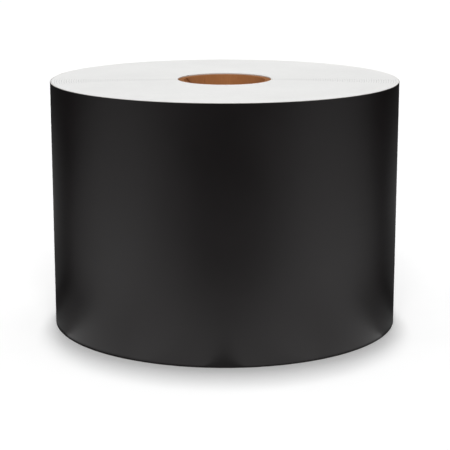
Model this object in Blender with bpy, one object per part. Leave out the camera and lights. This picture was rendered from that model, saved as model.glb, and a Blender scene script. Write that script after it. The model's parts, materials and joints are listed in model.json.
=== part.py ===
"""A roll of black sign vinyl on a one-inch paper core, standing on its end.

The core is a tube of kraft board strips, each wound in a helix. The web is vinyl film,
with its adhesive, on a paper release liner, wound film side out. All but the last turn
is one wound pack. The last turn is modelled layer by layer, and its free end is divided
into panels that hinge, so that the end unrolls, the film peels off its liner, and the
tab that holds the end down lifts.
"""

import math

import bmesh
import bpy
from mathutils import Matrix, Vector

# Lengths are in metres and angles in degrees.

# Core: strips of board, from the bore outwards.
CORE_BORE = 0.0254
PLY_COUNT = 4
PLY_THICKNESS = 0.00036
GLUE_LINE = 0.0001
PLY_ANGLE = 57.0  # between a strip's edge and the core's axis
PLY_SEAM = 0.0003  # open joint between a strip's neighbouring turns, along the axis
PLY_STAGGER = 144.0  # from one strip's seam to the next one's, round the core
CORE_RECESS = 0.0003  # each end of the core lies this far inside the web's edge
CORE_STEPS = 48  # facets round the core

# Web: vinyl film with its adhesive, and the release liner under it.
WEB_WIDTH = 0.0762
ROLL_DIAMETER = 0.108
FILM_THICKNESS = 0.0001
LINER_THICKNESS = 0.000086
LAYER_GAP = 0.00002
FILM_INSET = 0.0001  # the liner stands proud of the film at each edge
WEB_STEP = 2.0  # angle of one facet of the web

# Tape that starts the web on the core.
STARTER_ARC_LENGTH = 0.025
STARTER_THICKNESS = 0.0001
STARTER_CLEARANCE = 0.00003  # to the core inside it and the web outside it
STARTER_INSET = 0.003  # from each edge of the web

# Free end. Angles along the web run from the start of the last turn, 0, to the end, 360.
FREE_END_DIRECTION = 165.0  # where the web ends, anticlockwise from +X
CURL_ARCS = (20.0, 20.0, 20.0)  # panels of film on liner
STUCK_FILM_ARC = 10.0  # film that stays on the liner's last panel when the rest is peeled
FILM_TIP_ARCS = (12.0, 18.0)  # panels of film that peel off it, up to the free end
BUTT_GAP = 0.0001  # between neighbouring panels

# Tab that holds the free end down.
TAB_ON_FILM = 0.009
TAB_PAST_END = 0.015
TAB_WIDTH = 0.025
TAB_THICKNESS = 0.0001

# Worked out from the sizes above.
CORE_RADIUS = CORE_BORE / 2 + PLY_COUNT * PLY_THICKNESS + (PLY_COUNT - 1) * GLUE_LINE
WEB_HOLE_RADIUS = CORE_RADIUS + STARTER_THICKNESS + 2 * STARTER_CLEARANCE
WEB_PITCH = FILM_THICKNESS + LINER_THICKNESS + 2 * LAYER_GAP
PACK_RADIUS = ROLL_DIAMETER / 2 - 2 * WEB_PITCH
LINER_HEIGHT = LAYER_GAP  # above the turn below
FILM_HEIGHT = LINER_HEIGHT + LINER_THICKNESS + LAYER_GAP
FULL_TURN = 360.0
LINER_ARCS = (*CURL_ARCS, STUCK_FILM_ARC + sum(FILM_TIP_ARCS))
TAIL_START = FULL_TURN - sum(LINER_ARCS)


def make_material(name, colour, roughness):
    material = bpy.data.materials.new(name)
    material.use_nodes = True
    shader = material.node_tree.nodes["Principled BSDF"]
    shader.inputs["Base Color"].default_value = (*colour, 1.0)
    shader.inputs["Roughness"].default_value = roughness
    shader.inputs["Metallic"].default_value = 0.0
    return material


def under_web(angle):
    """Radius of the turn that lies under the web at this angle along it."""
    return PACK_RADIUS + WEB_PITCH * angle / FULL_TURN


def degrees_of(length, radius):
    return math.degrees(length / radius)


def at_direction(direction, radius, height=0.0):
    turn = math.radians(direction)
    return Vector((radius * math.cos(turn), radius * math.sin(turn), height))


def add_object(name, bm, material, hinge=None):
    """Makes an object of the mesh. With a hinge, its origin is on the hinge's line."""
    if hinge is not None:
        bmesh.ops.translate(bm, vec=-hinge["line_point"], verts=bm.verts)
    bmesh.ops.recalc_face_normals(bm, faces=bm.faces)
    mesh = bpy.data.meshes.new(name)
    bm.to_mesh(mesh)
    bm.free()
    mesh.shade_smooth()
    mesh.set_sharp_from_angle(angle=math.radians(30.0))
    mesh.materials.append(material)
    piece = bpy.data.objects.new(name, mesh)
    bpy.context.scene.collection.objects.link(piece)
    if hinge is not None:
        piece.parent = hinge["empty"]
    return piece


def add_hinge(name, angle, parent=None):
    """An upright hinge line on the web's outer face, at this angle along the web."""
    radius = under_web(angle) + WEB_PITCH
    line_point = at_direction(FREE_END_DIRECTION + angle, radius)
    empty = bpy.data.objects.new(name, None)
    empty.empty_display_size = 0.01
    bpy.context.scene.collection.objects.link(empty)
    empty.location = line_point
    if parent is not None:
        empty.parent = parent["empty"]
        empty.location = line_point - parent["line_point"]
    return {"empty": empty, "line_point": line_point}


def curved_sheet(start, end, radius_of, thickness, bottom, top, step):
    """An upright sheet from one direction to another; radius_of gives its inner face."""
    bm = bmesh.new()
    inner = radius_of(start)
    corners = (
        (inner, bottom),
        (inner + thickness, bottom),
        (inner + thickness, top),
        (inner, top),
    )
    profile = [bm.verts.new((radius, 0.0, height)) for radius, height in corners]
    face = bm.faces.new(profile)
    steps = max(1, math.ceil((end - start) / step - 0.5))
    bmesh.ops.spin(
        bm,
        geom=[face, *face.edges, *face.verts],
        cent=(0.0, 0.0, 0.0),
        axis=(0.0, 0.0, 1.0),
        angle=math.radians(end - start),
        steps=steps,
    )
    # The spin is circular, so each point now moves out to the spiral's radius.
    for vertex in bm.verts:
        turned = math.degrees(math.atan2(vertex.co.y, vertex.co.x)) % FULL_TURN
        if turned > FULL_TURN - step / 2:
            turned = 0.0
        outward = vertex.co.xy.normalized() * (radius_of(start + turned) - inner)
        vertex.co.xy += outward
    bmesh.ops.rotate(
        bm, matrix=Matrix.Rotation(math.radians(start), 3, "Z"), verts=bm.verts
    )
    return bm


def core_ply(index, name, material):
    """One strip of board. Its upright cross-section climbs by a turn's lead as it winds."""
    inner = CORE_BORE / 2 + index * (PLY_THICKNESS + GLUE_LINE)
    outer = inner + PLY_THICKNESS
    lead = math.pi * (inner + outer) / math.tan(math.radians(PLY_ANGLE))
    bottom = CORE_RECESS
    top = WEB_WIDTH - CORE_RECESS
    turns = (top - bottom) / lead + 1.0
    steps = math.ceil(turns * CORE_STEPS) + 1
    bm = bmesh.new()
    low = bottom - lead
    high = low + lead - PLY_SEAM
    corners = ((inner, low), (outer, low), (outer, high), (inner, high))
    face = bm.faces.new([bm.verts.new((radius, 0.0, z)) for radius, z in corners])
    bmesh.ops.spin(
        bm,
        geom=[face, *face.edges, *face.verts],
        cent=(0.0, 0.0, 0.0),
        axis=(0.0, 0.0, 1.0),
        dvec=(0.0, 0.0, lead / CORE_STEPS),
        angle=math.radians(steps * FULL_TURN / CORE_STEPS),
        steps=steps,
    )
    bmesh.ops.rotate(
        bm,
        matrix=Matrix.Rotation(math.radians(PLY_STAGGER * index), 3, "Z"),
        verts=bm.verts,
    )
    for height, side in ((bottom, -1.0), (top, 1.0)):
        bmesh.ops.bisect_plane(
            bm,
            geom=[*bm.verts, *bm.edges, *bm.faces],
            dist=1e-7,
            plane_co=(0.0, 0.0, height),
            plane_no=(0.0, 0.0, side),
            clear_outer=True,
        )
        open_edges = [edge for edge in bm.edges if edge.is_boundary]
        bmesh.ops.holes_fill(bm, edges=open_edges, sides=0)
    return add_object(name, bm, material)


def starter_tape(material):
    inner = CORE_RADIUS + STARTER_CLEARANCE
    arc = degrees_of(STARTER_ARC_LENGTH, inner)
    bm = curved_sheet(
        FREE_END_DIRECTION,
        FREE_END_DIRECTION + arc,
        lambda direction: inner,
        STARTER_THICKNESS,
        STARTER_INSET,
        WEB_WIDTH - STARTER_INSET,
        WEB_STEP,
    )
    return add_object("starter_tape", bm, material)


def closed_loop(bm, points):
    verts = [bm.verts.new(point) for point in points]
    return [bm.edges.new(pair) for pair in zip(verts, verts[1:] + verts[:1])]


def wound_web(material):
    """Every turn under the last one. Its rim steps in by one turn where the last begins."""
    count = round(FULL_TURN / WEB_STEP)
    angles = [index * FULL_TURN / count for index in range(count + 1)]
    rim = [at_direction(FREE_END_DIRECTION + a, under_web(a)) for a in angles]
    hole = [at_direction(FREE_END_DIRECTION + a, WEB_HOLE_RADIUS) for a in angles[:-1]]
    bm = bmesh.new()
    outline = closed_loop(bm, rim) + closed_loop(bm, hole)
    bmesh.ops.triangle_fill(bm, edges=outline, use_beauty=True)
    extruded = bmesh.ops.extrude_face_region(bm, geom=bm.faces[:])
    raised = [part for part in extruded["geom"] if isinstance(part, bmesh.types.BMVert)]
    bmesh.ops.translate(bm, vec=(0.0, 0.0, WEB_WIDTH), verts=raised)
    return add_object("wound_web", bm, material)


def web_layer(name, start, end, layer, material, hinge=None):
    """Film or liner between two angles along the last turn."""
    if layer == "film":
        height, thickness, inset = FILM_HEIGHT, FILM_THICKNESS, FILM_INSET
    else:
        height, thickness, inset = LINER_HEIGHT, LINER_THICKNESS, 0.0
    half_gap = degrees_of(BUTT_GAP, PACK_RADIUS) / 2
    bm = curved_sheet(
        start + half_gap,
        end - half_gap,
        lambda angle: under_web(angle) + height,
        thickness,
        inset,
        WEB_WIDTH - inset,
        WEB_STEP,
    )
    bmesh.ops.rotate(
        bm,
        matrix=Matrix.Rotation(math.radians(FREE_END_DIRECTION), 3, "Z"),
        verts=bm.verts,
    )
    return add_object(name, bm, material, hinge)


def end_tab(material, hinge, start, end):
    inner = under_web(FULL_TURN) + WEB_PITCH + LAYER_GAP
    middle = WEB_WIDTH / 2
    bm = curved_sheet(
        FREE_END_DIRECTION + start,
        FREE_END_DIRECTION + end,
        lambda angle: inner,
        TAB_THICKNESS,
        middle - TAB_WIDTH / 2,
        middle + TAB_WIDTH / 2,
        WEB_STEP,
    )
    return add_object("end_tab", bm, material, hinge)


def build_core(board):
    middle_names = [f"core_ply_{index + 1}" for index in range(1, PLY_COUNT - 1)]
    names = ["core_inner_ply", *middle_names, "core_outer_ply"]
    for index, name in enumerate(names):
        core_ply(index, name, board)


def build_free_end(film, liner, tab_paper):
    """The hinged panels of the free end, each riding on the one before it."""
    start = TAIL_START
    hinge = None
    for number, arc in enumerate(LINER_ARCS, start=1):
        hinge = add_hinge(f"panel_{number}_hinge", start, hinge)
        web_layer(f"tail_liner_{number}", start, start + arc, "liner", liner, hinge)
        film_arc = STUCK_FILM_ARC if number == len(LINER_ARCS) else arc
        web_layer(f"tail_film_{number}", start, start + film_arc, "film", film, hinge)
        start += film_arc
    for number, arc in enumerate(FILM_TIP_ARCS, start=1):
        hinge = add_hinge(f"film_tip_{number}_hinge", start, hinge)
        web_layer(f"film_tip_{number}", start, start + arc, "film", film, hinge)
        start += arc

    tab_start = FULL_TURN - degrees_of(TAB_ON_FILM, ROLL_DIAMETER / 2)
    tab_end = FULL_TURN + degrees_of(TAB_PAST_END, ROLL_DIAMETER / 2)
    tab_hinge = add_hinge("tab_hinge", tab_start, hinge)
    end_tab(tab_paper, tab_hinge, tab_start, tab_end)


def main():
    for leftover in list(bpy.data.objects):
        bpy.data.objects.remove(leftover)
    board = make_material("kraft_board", (0.30, 0.125, 0.047), 0.85)
    tape = make_material("starter_tape", (0.72, 0.62, 0.42), 0.5)
    edge = make_material("wound_web_edge", (0.80, 0.80, 0.80), 0.7)
    liner = make_material("release_liner", (0.82, 0.81, 0.78), 0.45)
    film = make_material("black_vinyl", (0.012, 0.012, 0.012), 0.35)
    tab_paper = make_material("tab_paper", (0.78, 0.76, 0.70), 0.6)

    build_core(board)
    starter_tape(tape)
    wound_web(edge)
    web_layer("last_turn_liner", 0.0, TAIL_START, "liner", liner)
    web_layer("last_turn_film", 0.0, TAIL_START, "film", film)
    build_free_end(film, liner, tab_paper)


main()
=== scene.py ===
import json
import math

import bmesh
import bpy
from mathutils import Matrix, Vector, noise


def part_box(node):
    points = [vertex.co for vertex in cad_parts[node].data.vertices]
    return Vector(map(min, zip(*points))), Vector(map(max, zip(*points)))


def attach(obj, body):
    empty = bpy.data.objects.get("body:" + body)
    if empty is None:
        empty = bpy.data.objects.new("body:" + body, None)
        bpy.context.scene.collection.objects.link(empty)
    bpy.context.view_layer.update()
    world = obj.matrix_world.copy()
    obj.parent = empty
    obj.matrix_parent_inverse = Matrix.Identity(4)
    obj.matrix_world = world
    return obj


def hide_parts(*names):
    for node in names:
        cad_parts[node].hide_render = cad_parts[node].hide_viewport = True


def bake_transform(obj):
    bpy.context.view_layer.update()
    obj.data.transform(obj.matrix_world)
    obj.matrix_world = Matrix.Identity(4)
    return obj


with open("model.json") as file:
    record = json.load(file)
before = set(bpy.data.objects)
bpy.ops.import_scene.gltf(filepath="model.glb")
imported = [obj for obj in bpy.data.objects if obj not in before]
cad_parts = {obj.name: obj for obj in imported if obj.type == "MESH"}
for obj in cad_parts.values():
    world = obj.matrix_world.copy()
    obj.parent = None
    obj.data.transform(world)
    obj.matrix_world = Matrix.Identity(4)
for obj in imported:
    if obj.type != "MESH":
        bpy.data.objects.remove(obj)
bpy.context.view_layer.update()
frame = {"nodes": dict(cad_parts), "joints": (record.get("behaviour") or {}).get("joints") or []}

# A roll of black sign vinyl on a paper core, standing on its end. Lengths in the
# dictionaries are millimetres and angles are degrees. Angles along the web run from
# the start of the last turn, 0, to the free end, 360.

mm = 0.001
fullTurn = 360.0
hinges = {joint["name"]: Vector(joint["pos_m"]) for joint in frame["joints"]}

web = {  # the web's layers, as the frame has them
    "film": 0.100,
    "liner": 0.086,
    "layerGap": 0.02,
    "linerProud": 0.1,  # the liner stands this far past the film at each edge
    "buttGap": 0.1,  # between the frame's panels, which are one web here
    "sheetStep": 0.5,  # degrees of one facet
}


def radiiOf(node):
    return [vertex.co.xy.length for vertex in frame["nodes"][node].data.vertices]


def directionOf(spot):
    return math.degrees(math.atan2(spot.y, spot.x))


def pointAt(direction, radius, height=0.0):
    turn = math.radians(direction)
    return Vector((radius * math.cos(turn), radius * math.sin(turn), height))


webPitch = (web["film"] + web["liner"] + 2 * web["layerGap"]) * mm
webLow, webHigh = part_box("wound_web")
packEnd = max(radiiOf("wound_web"))  # the pack's rim where the web ends, at 360
holeRadius = min(radiiOf("wound_web"))
lastPanel = [vertex.co for vertex in frame["nodes"]["tail_liner_4"].data.vertices]
freeEnd = max(map(directionOf, lastPanel)) + math.degrees(web["buttGap"] * mm / 2 / packEnd)


def alongWeb(spot):
    return (directionOf(spot) - freeEnd) % fullTurn


def underWeb(angle):  # radius of the turn under the web
    return packEnd - webPitch * (1 - angle / fullTurn)


def linear(hexColour):
    shares = [int(hexColour[place:place + 2], 16) / 255 for place in (1, 3, 5)]
    return [s / 12.92 if s <= 0.04045 else ((s + 0.055) / 1.055) ** 2.4 for s in shares] + [1.0]


def perMetre(size):  # noise scale whose cells are this many millimetres
    return 1 / (size * mm)


def addNode(tree, kind, settings=None, links=None):
    node = tree.nodes.new(kind)
    for name, value in (settings or {}).items():
        if isinstance(name, int) or name in node.inputs:
            node.inputs[name].default_value = value
        else:
            setattr(node, name, value)
    for name, source in (links or {}).items():
        tree.links.new(source, node.inputs[name])
    return node


def startMaterial(name, space):
    material = bpy.data.materials.new(name)
    material.use_nodes = True
    tree = material.node_tree
    tree.nodes.clear()
    spots = addNode(tree, "ShaderNodeTexCoord").outputs[space]
    return material, tree, spots


def noiseOf(tree, spots, size, detail=3.0, stretch=(1, 1, 1)):  # size in millimetres
    mapped = addNode(tree, "ShaderNodeMapping", {"Scale": stretch}, {"Vector": spots})
    cells = addNode(tree, "ShaderNodeTexNoise", {"Scale": perMetre(size), "Detail": detail},
                    {"Vector": mapped.outputs[0]})
    return cells.outputs["Fac"]


def between(tree, fac, low, high):  # a number or a colour that follows the pattern
    ramp = addNode(tree, "ShaderNodeValToRGB", {}, {"Fac": fac})
    ends = ramp.color_ramp.elements
    for end, place, value in zip(ends, (0.3, 0.7), (low, high)):
        end.position = place
        end.color = linear(value) if isinstance(value, str) else (value, value, value, 1.0)
    return ramp.outputs["Color"]


def finishMaterial(material, tree, shaderSettings, shaderLinks, bumps=()):
    normal = None
    for height, depth in bumps:  # depth in millimetres
        links = {"Height": height}
        if normal is not None:
            links["Normal"] = normal
        bump = addNode(tree, "ShaderNodeBump", {"Strength": 1.0, "Distance": depth * mm}, links)
        normal = bump.outputs[0]
    shaderLinks = dict(shaderLinks)
    if normal is not None:
        shaderLinks["Normal"] = normal
    shader = addNode(tree, "ShaderNodeBsdfPrincipled", shaderSettings, shaderLinks)
    addNode(tree, "ShaderNodeOutputMaterial", {}, {"Surface": shader.outputs[0]})
    return material


vinylFinish = {
    "deep": "#0f0a0b",
    "light": "#140f10",
    "glossy": 0.34,
    "dull": 0.42,
    "ior": 1.5,
    "orangePeel": 1.1,  # real peel is about 0.3 mm across, drawn coarser to show
    "orangePeelDepth": 0.0016,
    "gaugeBand": 9.0,  # bands round the roll where the calender ran a little thick
    "gaugeBandDepth": 0.012,
    "scuff": 0.5,
}


def calenderedVinyl():  # PVC pressed between rollers: an even satin black with soft reflections
    look = vinylFinish
    material, tree, spots = startMaterial("calenderedVinyl", "UV")
    cloud = noiseOf(tree, spots, 24.0)
    scuffs = noiseOf(tree, spots, look["scuff"], 2.0, (0.03, 1, 1))
    both = addNode(tree, "ShaderNodeMath", {"operation": "MULTIPLY_ADD", 1: 0.35},
                   {0: scuffs, 2: addNode(tree, "ShaderNodeMath", {"operation": "MULTIPLY", 1: 0.65},
                                          {0: cloud}).outputs[0]})
    peel = noiseOf(tree, spots, look["orangePeel"], 1.0)
    bands = noiseOf(tree, spots, look["gaugeBand"], 2.0, (0.02, 1, 1))
    return finishMaterial(
        material, tree,
        {"IOR": look["ior"]},
        {"Base Color": between(tree, cloud, look["deep"], look["light"]),
         "Roughness": between(tree, both.outputs[0], look["glossy"], look["dull"])},
        [(bands, look["gaugeBandDepth"]), (peel, look["orangePeelDepth"])])


adhesiveFinish = {
    "deep": "#27282a", "light": "#2d2e31",
    "glossy": 0.16, "dull": 0.24,
    "ripple": 2.6, "rippleDepth": 0.006,
}


def acrylicAdhesive():  # clear pressure-sensitive coat on the film's back: grey, wet and rippled
    look = adhesiveFinish
    material, tree, spots = startMaterial("acrylicAdhesive", "UV")
    ripple = noiseOf(tree, spots, look["ripple"], 3.0, (1, 0.6, 1))
    return finishMaterial(
        material, tree,
        {"IOR": 1.47},
        {"Base Color": between(tree, ripple, look["deep"], look["light"]),
         "Roughness": between(tree, ripple, look["glossy"], look["dull"])},
        [(ripple, look["rippleDepth"])])


linerFinish = {
    "fibre": 0.9,  # paper fibres are 0.03 mm across, drawn coarser to show
    "cloud": 7.0,
    "faceDeep": "#e2e0db", "faceLight": "#e6e5e0",
    "backDeep": "#dcd9d1", "backLight": "#e2dfd8",
    "edgeDeep": "#e6e5e3", "edgeLight": "#f0efed",
}


def siliconeCoatedLiner():  # the side that the film peels off: slick, white and a little wet
    look = linerFinish
    material, tree, spots = startMaterial("siliconeCoatedLiner", "UV")
    cloud = noiseOf(tree, spots, look["cloud"], 4.0)
    return finishMaterial(
        material, tree,
        {"IOR": 1.43},
        {"Base Color": between(tree, cloud, look["faceDeep"], look["faceLight"]),
         "Roughness": between(tree, cloud, 0.26, 0.30)},
        [(noiseOf(tree, spots, 1.6, 2.0), 0.002)])


def clayCoatedLinerBack():  # the liner's plain side: matt, faintly warm, with the paper's formation
    look = linerFinish
    material, tree, spots = startMaterial("clayCoatedLinerBack", "UV")
    fibres = noiseOf(tree, spots, look["fibre"], 5.0, (0.3, 1, 1))
    return finishMaterial(
        material, tree,
        {"IOR": 1.5},
        {"Base Color": between(tree, noiseOf(tree, spots, look["cloud"], 4.0),
                               look["backDeep"], look["backLight"]),
         "Roughness": between(tree, fibres, 0.55, 0.68)},
        [(fibres, 0.004)])


def slitLiner():  # paper cut by a razor slitter: a clean, chalky white line
    look = linerFinish
    material, tree, spots = startMaterial("slitLiner", "Object")
    fibres = noiseOf(tree, spots, look["fibre"], 3.0)
    return finishMaterial(
        material, tree,
        {"IOR": 1.5},
        {"Base Color": between(tree, fibres, look["edgeDeep"], look["edgeLight"]),
         "Roughness": between(tree, fibres, 0.70, 0.82)},
        [(fibres, 0.01)])


def slitVinyl():  # the film's cut edge: dark, duller than its face
    material, tree, spots = startMaterial("slitVinyl", "Object")
    drag = noiseOf(tree, spots, 0.5, 2.0)
    return finishMaterial(
        material, tree,
        {"IOR": 1.5},
        {"Base Color": between(tree, drag, "#171615", "#232221"),
         "Roughness": between(tree, drag, 0.5, 0.6)},
        [(drag, 0.004)])


endFinish = {
    "deep": "#e4e4e3",
    "light": "#e9e9e8",
    "grooveDeep": "#6b6b6b",
    "grooveLight": "#7e7e7d",
    "cloud": 16.0,
    "streak": 1.5,
    "fibre": 0.5,  # paper fibres are 0.03 mm across, drawn coarser to show
    "fibreDepth": 0.006,
}


def slitTurns():  # edges of the wound liner: an even light grey with faint rings
    look = endFinish
    material, tree, spots = startMaterial("slitTurns", "Object")
    fibres = noiseOf(tree, spots, look["fibre"], 3.0)
    cloud = noiseOf(tree, spots, look["cloud"], 3.0)
    streaks = noiseOf(tree, spots, look["streak"], 2.0)
    mixed = addNode(tree, "ShaderNodeMix", {"data_type": "FLOAT", "Factor": 0.4}, {2: cloud, 3: streaks})
    return finishMaterial(
        material, tree,
        {"IOR": 1.5, "Specular IOR Level": 0.3},
        {"Base Color": between(tree, mixed.outputs[0], look["deep"], look["light"]),
         "Roughness": between(tree, fibres, 0.72, 0.84)},
        [(fibres, look["fibreDepth"])])


def grooveBetweenTurns():  # film edges set back between the liner's: the thin darker lines
    look = endFinish
    material, tree, spots = startMaterial("grooveBetweenTurns", "Object")
    streaks = noiseOf(tree, spots, look["streak"], 2.0)
    return finishMaterial(
        material, tree,
        {"IOR": 1.5, "Specular IOR Level": 0.3},
        {"Base Color": between(tree, streaks, look["grooveDeep"], look["grooveLight"]),
         "Roughness": between(tree, streaks, 0.6, 0.7)},
        [(streaks, 0.004)])


boardFinish = {
    # painted light: the face brown is the cut ends' brown made lighter by the share of light the bore wall
    # misses, so that the shaded bore shows as bright as the lit ends
    "faceDeep": "#c08251", "faceLight": "#cf9260",
    "cutDeep": "#95633d", "cutLight": "#a16e45",
    "fleck": "#6f4a2a",
    "fibre": 0.35,  # wood fibres are 0.03 by 2 mm, drawn thicker to show
    "fibreDepth": 0.02,
}


def kraftBoard(name, deep, light, stretch):  # unbleached board: matt brown, fibrous and flecked
    look = boardFinish
    material, tree, spots = startMaterial(name, "Object")
    fibres = noiseOf(tree, spots, look["fibre"], 5.0, stretch)
    cloud = noiseOf(tree, spots, 5.0, 3.0)
    flecks = noiseOf(tree, spots, 1.2, 4.0, stretch)
    mixed = addNode(tree, "ShaderNodeMix", {"data_type": "FLOAT", "Factor": 0.5}, {2: cloud, 3: fibres})
    darker = addNode(tree, "ShaderNodeMapRange", {"From Min": 0.66, "From Max": 0.76, "To Max": 0.6},
                     {"Value": flecks})
    colour = addNode(tree, "ShaderNodeMix", {"data_type": "RGBA", 7: linear(look["fleck"])},
                     {0: darker.outputs[0], 6: between(tree, mixed.outputs[0], deep, light)})
    return finishMaterial(
        material, tree,
        {"IOR": 1.5, "Specular IOR Level": 0.25},
        {"Base Color": colour.outputs[2],
         "Roughness": between(tree, fibres, 0.80, 0.92)},
        [(fibres, look["fibreDepth"])])


def dextrinGlue():  # dried paste between the core's strips: a darker brown line, a bit shiny
    material, tree, spots = startMaterial("dextrinGlue", "Object")
    lumps = noiseOf(tree, spots, 0.8, 3.0)
    return finishMaterial(
        material, tree,
        {"IOR": 1.48},
        {"Base Color": between(tree, lumps, "#5d3f25", "#6d4b2e"),
         "Roughness": between(tree, lumps, 0.4, 0.55)},
        [(lumps, 0.02)])


def crepedPaperTape():  # masking tape: pale tan, wrinkled across its length
    material, tree, spots = startMaterial("crepedPaperTape", "Object")
    creping = noiseOf(tree, spots, 0.6, 3.0, (1, 1, 0.1))
    return finishMaterial(
        material, tree,
        {"IOR": 1.5},
        {"Base Color": between(tree, creping, "#cdb988", "#dccb9e"),
         "Roughness": between(tree, creping, 0.45, 0.6)},
        [(creping, 0.03)])


def uncoatedPaperTab():  # plain offset paper: off-white, with a soft tooth
    material, tree, spots = startMaterial("uncoatedPaperTab", "UV")
    fibres = noiseOf(tree, spots, 0.45, 5.0)
    cloud = noiseOf(tree, spots, 3.0, 4.0)
    return finishMaterial(
        material, tree,
        {"IOR": 1.5, "Specular IOR Level": 0.3},
        {"Base Color": between(tree, cloud, "#e2dfd5", "#e7e4da"),
         "Roughness": between(tree, fibres, 0.78, 0.9)},
        [(fibres, 0.012)])


print("materials: mixing the finishes")
finishes = {
    "vinyl": calenderedVinyl(),
    "adhesive": acrylicAdhesive(),
    "linerFace": siliconeCoatedLiner(),
    "linerBack": clayCoatedLinerBack(),
    "linerEdge": slitLiner(),
    "vinylEdge": slitVinyl(),
    "turns": slitTurns(),
    "groove": grooveBetweenTurns(),
    # the face brown holds painted light that makes up for the shade in the bore
    "board": kraftBoard("kraftBoardFaceWithPaintedLight", boardFinish["faceDeep"], boardFinish["faceLight"], (1, 1, 0.25)),
    "boardCut": kraftBoard("kraftBoardCut", boardFinish["cutDeep"], boardFinish["cutLight"], (1, 1, 1)),
    "glue": dextrinGlue(),
    "tape": crepedPaperTape(),
    "tab": uncoatedPaperTab(),
}


def addPiece(name, bm, materials, sharpAngle=30.0):
    mesh = bpy.data.meshes.new(name)
    bm.to_mesh(mesh)
    bm.free()
    mesh.shade_smooth()
    mesh.set_sharp_from_angle(angle=math.radians(sharpAngle))
    for material in materials:
        mesh.materials.append(finishes[material])
    piece = bpy.data.objects.new(name, mesh)
    bpy.context.scene.collection.objects.link(piece)
    return piece


windings = {
    "ridge": 0.744,  # four turns of 0.186 mm drawn as one, or none would show
    "groove": 0.05,
    "grooveDepth": 0.10,
    "shoulder": 0.04,  # round of a ridge's corner
    "crown": 0.012,
    "bandStray": 0.05,  # how far neighbouring turns wander together along the axis
    "turnStray": 0.03,  # how far one turn wanders from the next
    "bandsPerMetre": 210,
    "patchesPerMetre": 34,
    "ridgesPerMetre": 1900,
    "ridgeRun": 75,  # degrees over which one turn's place changes
    "endSeeds": (7.3, 3.1, 5.7),  # so that the two ends wander differently
    "lip": 14.5,  # radius at the very end, where the turns close on the core
    "lipDepth": 1.2,
    "stepsPerTurn": 160,
}


def stray(radius, direction, side):  # how far the turns' edges lie below the end, in metres
    spot = pointAt(direction, radius)
    bandSeed, patchSeed, ridgeSeed = (side * seed for seed in windings["endSeeds"])
    band = noise.noise(Vector((radius * windings["bandsPerMetre"], bandSeed, 0.4)))
    across = spot * windings["patchesPerMetre"]
    patch = noise.noise(Vector((across.x, across.y, patchSeed)))
    along = direction / windings["ridgeRun"]
    ridge = noise.noise(Vector((radius * windings["ridgesPerMetre"], ridgeSeed, along)))
    return mm * (windings["bandStray"] * (0.5 + 0.4 * band + 0.25 * patch)
                 + windings["turnStray"] * (0.5 + 0.5 * ridge))


def ridgeProfile():  # share of a ridge's width, depth in millimetres, and the face that follows
    s = windings
    width = s["ridge"]
    return [
        (0.0, s["grooveDepth"], "groove"),
        (s["groove"] / width, s["grooveDepth"], "turns"),
        ((s["groove"] + s["shoulder"]) / width, s["crown"], "turns"),
        (0.5, 0.0, "turns"),
        (1 - s["shoulder"] / width, s["crown"], "turns"),
    ]


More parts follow.
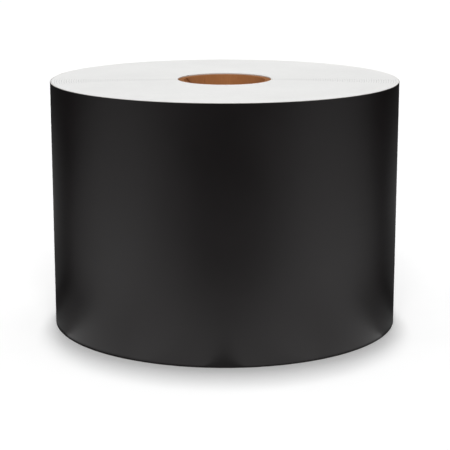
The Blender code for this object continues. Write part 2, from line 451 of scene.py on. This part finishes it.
def buildWoundTurns():
    s = windings
    slots = ["turns", "groove", "vinyl", "linerEdge"]
    profile = ridgeProfile()
    width = s["ridge"] * mm
    lip = s["lip"] * mm
    film = web["film"] * mm
    rimStart = underWeb(0.0) - film
    ridges = math.ceil((packEnd - lip) / width) + 2
    bm = bmesh.new()
    lower = bm.verts.layers.float.new("lower")
    columns = []
    for step in range(s["stepsPerTurn"] + 1):
        angle = fullTurn * step / s["stepsPerTurn"]
        rim = underWeb(angle) - film
        column = []
        last = 0.0
        for ridge in range(ridges):
            for share, depth, _ in profile:
                radius = lip + width * (ridge - 1 + share + step / s["stepsPerTurn"])
                radius = min(max(radius, lip), rim)
                if step == s["stepsPerTurn"] and last < rimStart < radius:
                    radius = rimStart  # the rim's step meets the last turn's start here
                last = radius
                onEdge = radius in (lip, rim, rimStart)
                sink = [0.0, 0.0] if onEdge else [
                    stray(radius, freeEnd + angle, side) + depth * mm for side in (1, -1)]
                vertex = bm.verts.new(pointAt(freeEnd + angle, radius, webHigh.z - sink[0]))
                vertex[lower] = webLow.z + sink[1]
                column.append(vertex)
        columns.append(column)
    for here, there in zip(columns, columns[1:]):
        for index in range(len(here) - 1):
            face = bm.faces.new((here[index], here[index + 1], there[index + 1], there[index]))
            face.material_index = slots.index(profile[index % len(profile)][2])
    bmesh.ops.remove_doubles(bm, verts=bm.verts, dist=1e-6)

    # The lower end is the same sheet of ridges, and a wall joins the two round each edge.
    rimEdges = [edge for edge in bm.edges if edge.is_boundary]
    middle = (lip + packEnd) / 2
    upperFaces = list(bm.faces)
    twins = {vertex: bm.verts.new((vertex.co.x, vertex.co.y, vertex[lower])) for vertex in list(bm.verts)}
    for face in upperFaces:
        twin = bm.faces.new([twins[vertex] for vertex in reversed(face.verts)])
        twin.material_index = face.material_index
    proud = web["linerProud"] * mm
    outerWall = [(0.0, proud, "linerEdge"), (film, proud, "linerEdge"), (film, -proud, "vinyl"),
                 (0.0, -proud, "linerEdge")]
    holeStep = holeRadius - lip
    innerWall = [(holeStep, s["lipDepth"] * mm, "turns"), (holeStep, -s["lipDepth"] * mm, "turns")]
    rungs = {}

    def ladder(vertex):  # the wall's points under one point of the edge, from the top down
        if vertex not in rungs:
            wall = outerWall if vertex.co.xy.length > middle else innerWall
            points = []
            for out, drop, _ in wall:
                spot = pointAt(directionOf(vertex.co), vertex.co.xy.length + out)
                spot.z = webHigh.z - drop if drop > 0 else webLow.z - drop
                points.append(bm.verts.new(spot))
            rungs[vertex] = [vertex, *points, twins[vertex]]
        return rungs[vertex]

    for edge in rimEdges:
        face = edge.link_faces[0]
        loop = next(loop for loop in face.loops if loop.edge == edge)
        first, second = loop.link_loop_next.vert, loop.vert  # so that the wall faces out
        wall = outerWall if first.co.xy.length > middle else innerWall
        looks = [kind for _, _, kind in wall] + [wall[-1][2]]
        pairs = list(zip(ladder(first), ladder(second)))
        for kind, (a, b), (c, d) in zip(looks, pairs, pairs[1:]):
            quad = bm.faces.new((a, b, d, c))
            quad.material_index = slots.index(kind)
    return addPiece("woundTurns", bm, slots, 40.0)


def spiralSheet(name, start, end, layer, looks):
    # looks: the outer face, the inner face and the cut edges
    height, thickness, inset = {
        "liner": (web["layerGap"], web["liner"], 0.0),
        "film": (2 * web["layerGap"] + web["liner"], web["film"], web["linerProud"]),
    }[layer]
    steps = max(2, round((end - start) / web["sheetStep"]))
    low, high = webLow.z + inset * mm, webHigh.z - inset * mm
    bm = bmesh.new()
    uvs = bm.loops.layers.uv.new("UVMap")
    rows = []
    for step in range(steps + 1):
        angle = start + (end - start) * step / steps
        inner = underWeb(angle) + height * mm
        outer = inner + thickness * mm
        rows.append([bm.verts.new(pointAt(freeEnd + angle, radius, z))
                     for radius, z in ((inner, low), (outer, low), (outer, high), (inner, high))])
    arcs = [math.radians(start + (end - start) * step / steps) * packEnd for step in range(steps + 1)]
    for step in range(steps):
        for side, look in enumerate((2, 0, 2, 1)):
            after = (side + 1) % 4
            corners = (rows[step][side], rows[step + 1][side], rows[step + 1][after], rows[step][after])
            face = bm.faces.new(corners)
            face.material_index = look
            for loop, arc in zip(face.loops, (arcs[step], arcs[step + 1], arcs[step + 1], arcs[step])):
                loop[uvs].uv = (arc, loop.vert.co.z)
    for row, arc in ((rows[0], arcs[0]), (list(reversed(rows[-1])), arcs[-1])):
        face = bm.faces.new(row)
        face.material_index = 2
        for loop in face.loops:
            loop[uvs].uv = (arc, loop.vert.co.z)
    bmesh.ops.recalc_face_normals(bm, faces=bm.faces)
    return addPiece(name, bm, looks)


freeEndBends = {  # share of a bend's length before its hinge, and its length in degrees
    "lift": (0.25, 13.0),
    "curl": (0.5, 20.0),
    "lastCurl": (0.5, 16.5),
    "peel": (0.2, 8.5),
    "tipCurl": (0.5, 10.0),
    "tabPeel": (0.2, 4.5),
}
filmLooks = ("vinyl", "adhesive", "vinylEdge")
linerLooks = ("linerFace", "linerBack", "linerEdge")


def bendStart(joint, kind):
    share, length = freeEndBends[kind]
    return alongWeb(hinges[joint]) - share * length


def bendOver(piece, joint, kind):  # bakes the piece's placement into its mesh; the piece is not bent
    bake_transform(piece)


def buildLastTurn():
    bends = [("tail_lift", "lift"), ("tail_curl_2", "curl"), ("tail_curl_3", "curl"),
             ("tail_curl_4", "lastCurl"), ("film_peel", "peel"), ("film_curl", "tipCurl")]
    starts = [bendStart(*bend) for bend in bends] + [fullTurn]
    kinds = {"liner": (linerLooks, "release_liner"), "film": (filmLooks, "black_vinyl")}
    for layer, (looks, slot) in kinds.items():
        piece = spiralSheet(f"lastTurn{layer.capitalize()}", 0.0, starts[0], layer, looks)
        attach(piece, "roll")
        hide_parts(f"last_turn_{layer}")
        for number in range(1, 5):
            end = fullTurn if (number, layer) == (4, "liner") else starts[number]
            piece = spiralSheet(f"tail{layer.capitalize()}{number}", starts[number - 1], end,
                                layer, looks)
            bendOver(piece, *bends[number - 1])
            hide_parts(f"tail_{layer}_{number}")
    for number in (1, 2):
        piece = spiralSheet(f"filmTip{number}", starts[number + 3], starts[number + 4],
                            "film", filmLooks)
        bendOver(piece, *bends[number + 3])
        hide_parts(f"film_tip_{number}")


tabSizes = {
    "thickness": 0.1,
    "cornerRadius": 2.5,
    "drape": 1.6,  # length over which the paper steps down off the web's end
    "column": 0.3,
}


def buildTab():
    s = tabSizes
    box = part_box("end_tab")
    middle = (box[0].z + box[1].z) / 2
    halfHeight = (box[1].z - box[0].z) / 2
    start = alongWeb(hinges["tab_peel"])
    ends = [vertex.co for vertex in frame["nodes"]["end_tab"].data.vertices]
    end = fullTurn + max(alongWeb(spot) for spot in ends if alongWeb(spot) < fullTurn / 2)
    length = math.radians(end - start) * packEnd
    corner = s["cornerRadius"] * mm
    columns = round(length / (s["column"] * mm))
    bm = bmesh.new()
    uvs = bm.loops.layers.uv.new("UVMap")
    rows = []
    for column in range(columns + 1):
        place = length * (1 - math.cos(math.pi * column / columns)) / 2  # closer at the corners
        angle = start + math.degrees(place / packEnd)
        fromEnd = min(place, length - place)
        cut = max(0.0, corner - fromEnd)  # how far into the rounded corner this column is
        inset = corner - math.sqrt(max(0.0, corner ** 2 - cut ** 2))
        past = max(0.0, math.radians(angle - fullTurn) * packEnd / (s["drape"] * mm))
        fall = min(past, 1.0) ** 2 * (3 - 2 * min(past, 1.0))
        onFilm = underWeb(min(angle, fullTurn)) + webPitch
        below = underWeb(max(angle - fullTurn, 0.0)) + webPitch
        inner = onFilm + (below - onFilm) * fall + web["layerGap"] * mm
        outer = inner + s["thickness"] * mm
        half = halfHeight - inset
        rows.append([bm.verts.new(pointAt(freeEnd + angle, radius, middle + side * half))
                     for radius, side in ((inner, -1), (outer, -1), (outer, 1), (inner, 1))])
    for here, there in zip(rows, rows[1:]):
        for side in range(4):
            after = (side + 1) % 4
            bm.faces.new((here[side], there[side], there[after], here[after]))
    bm.faces.new(rows[0])
    bm.faces.new(list(reversed(rows[-1])))
    bmesh.ops.recalc_face_normals(bm, faces=bm.faces)
    for face in bm.faces:
        for loop in face.loops:
            arc = math.radians((alongWeb(loop.vert.co) - start) % fullTurn) * packEnd
            loop[uvs].uv = (arc, loop.vert.co.z)
    piece = addPiece("paperTab", bm, ["tab"])
    bendOver(piece, "tab_peel", "tabPeel")
    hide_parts("end_tab")


coreStrips = {  # strips of board, from the bore outwards
    "board": 0.36,
    "glueLine": 0.1,
    "angle": 57.0,  # between a strip's edge and the core's axis
    "seam": 0.3,
    "stagger": 144.0,
    "edgeRound": 0.05,
    "steps": 120,
    "glueSink": 0.04,  # the glue stops this far inside the cut
}


def cutFlat(bm, bottom, top, cutSlot):
    for height, side in ((bottom, -1.0), (top, 1.0)):
        geometry = [*bm.verts, *bm.edges, *bm.faces]
        bmesh.ops.bisect_plane(bm, geom=geometry, dist=1e-7, plane_co=(0, 0, height),
                               plane_no=(0, 0, side), clear_outer=True)
        openEdges = [edge for edge in bm.edges if edge.is_boundary]
        filled = bmesh.ops.holes_fill(bm, edges=openEdges, sides=0)
        for face in filled["faces"]:
            face.material_index = cutSlot


def buildCore():
    s = coreStrips
    plies = ["core_inner_ply", "core_ply_2", "core_ply_3", "core_outer_ply"]
    bore = min(radiiOf(plies[0]))
    bottom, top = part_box(plies[0])[0].z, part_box(plies[0])[1].z
    edge = s["edgeRound"] * mm
    for index, node in enumerate(plies):
        inner = bore + index * (s["board"] + s["glueLine"]) * mm
        outer = inner + s["board"] * mm
        lead = math.pi * (inner + outer) / math.tan(math.radians(s["angle"]))
        steps = math.ceil(((top - bottom) / lead + 1) * s["steps"]) + 1
        low = bottom - lead
        high = low + lead - s["seam"] * mm
        outline = ((inner, low + edge), (inner + edge, low), (outer - edge, low), (outer, low + edge),
                   (outer, high - edge), (outer - edge, high), (inner + edge, high), (inner, high - edge))
        bm = bmesh.new()
        face = bm.faces.new([bm.verts.new((radius, 0, z)) for radius, z in outline])
        bmesh.ops.spin(bm, geom=[face, *face.edges, *face.verts], cent=(0, 0, 0), axis=(0, 0, 1),
                       dvec=(0, 0, lead / s["steps"]), angle=math.radians(steps * fullTurn / s["steps"]),
                       steps=steps)
        stagger = Matrix.Rotation(math.radians(s["stagger"] * index), 3, "Z")
        bmesh.ops.rotate(bm, matrix=stagger, verts=bm.verts)
        cutFlat(bm, bottom, top, 1)
        bmesh.ops.recalc_face_normals(bm, faces=bm.faces)
        strip = addPiece(f"coreStrip{index + 1}", bm, ["board", "boardCut"])
        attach(strip, "roll")
        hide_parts(node)

    sink = s["glueSink"] * mm
    bm = bmesh.new()
    for index in range(len(plies) - 1):
        inner = bore + (index + 1) * s["board"] * mm + index * s["glueLine"] * mm
        outer = inner + s["glueLine"] * mm
        outline = ((inner, bottom + sink), (outer, bottom + sink), (outer, top - sink), (inner, top - sink))
        ring = [bm.verts.new((radius, 0, z)) for radius, z in outline]
        edges = [bm.edges.new(pair) for pair in zip(ring, ring[1:] + ring[:1])]
        bmesh.ops.spin(bm, geom=[*ring, *edges], cent=(0, 0, 0), axis=(0, 0, 1),
                       angle=math.radians(fullTurn), steps=s["steps"])
    bmesh.ops.remove_doubles(bm, verts=bm.verts, dist=1e-6)
    bmesh.ops.recalc_face_normals(bm, faces=bm.faces)
    glue = addPiece("coreGlue", bm, ["glue"])
    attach(glue, "roll")


print("web: winding the turns")
turns = buildWoundTurns()
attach(turns, "roll")
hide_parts("wound_web")
print("web: laying the last turn and its free end")
buildLastTurn()
buildTab()
print("core: winding the strips")
buildCore()
tapeMesh = frame["nodes"]["starter_tape"].data
tapeMesh.materials.clear()
tapeMesh.materials.append(finishes["tape"])


studio = {  # metres, from the core's axis on the floor
    "sky": 0.39,
    "backdrop": 1.1,
    "far": 12.0,  # distance of the soft boxes, so that they light the floor evenly
    "overhead": {"tilt": 8.0, "size": (1.2, 2.9), "watts": 760.0},  # tilt behind the zenith
    "frontFill": {"tilt": -45.0, "size": (6.0, 4.0), "watts": 500.0},
    "cards": {  # oval reflectors on the floor that only the gloss sees, in stacking order:
        # azimuths from the front, near and far ends, half width, watts
        "cardFront": ((0,), 0.04, 0.7, 0.14, 0.06),
        "cardFoot": ((18, -18), 0.0, 0.16, 0.07, 0.0036),
        "cardCorner": ((35, -35), 0.04, 0.14, 0.05, 0.009),
        "cardRing": ((0,), -0.08, 0.08, 0.08, 0.0025),
        "cardQuarter": ((35, -35), 0.04, 0.4, 0.1, 0.0242),
        "cardHip": ((55, -55), 0.04, 0.2, 0.07, 0.0065),
        "cardSide": ((55, -55), 0.1, 0.9, 0.2, 0.235),
        "cardFlank": ((72, -72), 0.1, 0.9, 0.2, 0.29),
        "cardRear": ((145, -145), 0.04, 0.4, 0.1, 0.02),
        "cardHaunch": ((155, -155), 0.1, 0.9, 0.2, 0.04),
        "cardBack": ((180,), 0.04, 0.7, 0.14, 0.2),
    },
    "floor": "#f7f7f7",
    "floorLight": "#f9f9f9",
    "floorSize": 12.0,
    "cardGap": 0.0001,  # between one card and the next above it
}
camera = {"right": 0.00015, "back": 0.4505, "height": 0.13236, "down": 12.837, "lens": 116.55}


def areaLight(name, place, size, watts, rotation, glossy):
    data = bpy.data.lights.new(name, "AREA")
    data.shape = "ELLIPSE" if glossy else "RECTANGLE"
    data.size, data.size_y = size
    data.energy = watts
    lamp = bpy.data.objects.new(name, data)
    bpy.context.scene.collection.objects.link(lamp)
    lamp.location = place
    lamp.rotation_euler = rotation
    lamp.visible_camera = False
    lamp.visible_glossy = glossy
    lamp.visible_diffuse = not glossy


def buildStudio():
    s = studio
    scene = bpy.context.scene
    scene.view_settings.view_transform = "Standard"
    world = bpy.data.worlds.new("paleSky")
    world.use_nodes = True
    tree = world.node_tree
    tree.nodes.clear()
    sky = addNode(tree, "ShaderNodeBackground", {"Color": (1, 1, 1, 1), "Strength": s["sky"]})
    backdrop = addNode(tree, "ShaderNodeBackground", {"Color": (1, 1, 1, 1), "Strength": s["backdrop"]})
    seen = addNode(tree, "ShaderNodeLightPath")
    mixed = addNode(tree, "ShaderNodeMixShader", {},
                    {0: seen.outputs["Is Camera Ray"], 1: sky.outputs[0], 2: backdrop.outputs[0]})
    addNode(tree, "ShaderNodeOutputWorld", {}, {"Surface": mixed.outputs[0]})
    world.cycles_visibility.glossy = False
    scene.world = world

    bpy.ops.mesh.primitive_grid_add(x_subdivisions=8, y_subdivisions=8, size=s["floorSize"])
    floor = bpy.context.object
    floor.name = "floor"
    material, tree, spots = startMaterial("mattPaperSweep", "Object")
    finishMaterial(material, tree, {"Roughness": 0.9, "Specular IOR Level": 0.0},
                   {"Base Color": between(tree, noiseOf(tree, spots, 40.0), s["floor"], s["floorLight"])})
    floor.data.materials.append(material)
    floor.visible_glossy = False

    for name in ("overhead", "frontFill"):
        light = s[name]
        tilt = math.radians(light["tilt"])
        place = s["far"] * Vector((0, math.sin(tilt), math.cos(tilt)))
        aim = (-place).to_track_quat("-Z", "Y").to_euler()
        areaLight(name, place, light["size"], light["watts"], aim, glossy=False)
    height = 0.0
    for name, (azimuths, near, far, halfWidth, watts) in s["cards"].items():
        for azimuth in azimuths:
            height += s["cardGap"]
            turn = math.radians(azimuth)
            outward = Vector((math.sin(turn), -math.cos(turn), 0))
            place = outward * (near + far) / 2 + Vector((0, 0, height))
            areaLight(name, place, (2 * halfWidth, far - near), watts, (math.pi, 0, turn), glossy=True)


def placeCamera():
    data = bpy.data.cameras.new("camera")
    data.lens = camera["lens"]
    data.sensor_width = 36.0
    data.clip_start, data.clip_end = 0.01, 20.0
    eye = bpy.data.objects.new("camera", data)
    bpy.context.scene.collection.objects.link(eye)
    eye.location = (camera["right"], -camera["back"], camera["height"])
    eye.rotation_euler = (math.radians(90 - camera["down"]), 0, 0)
    bpy.context.scene.camera = eye


print("studio: floor, light and camera")
buildStudio()
placeCamera()
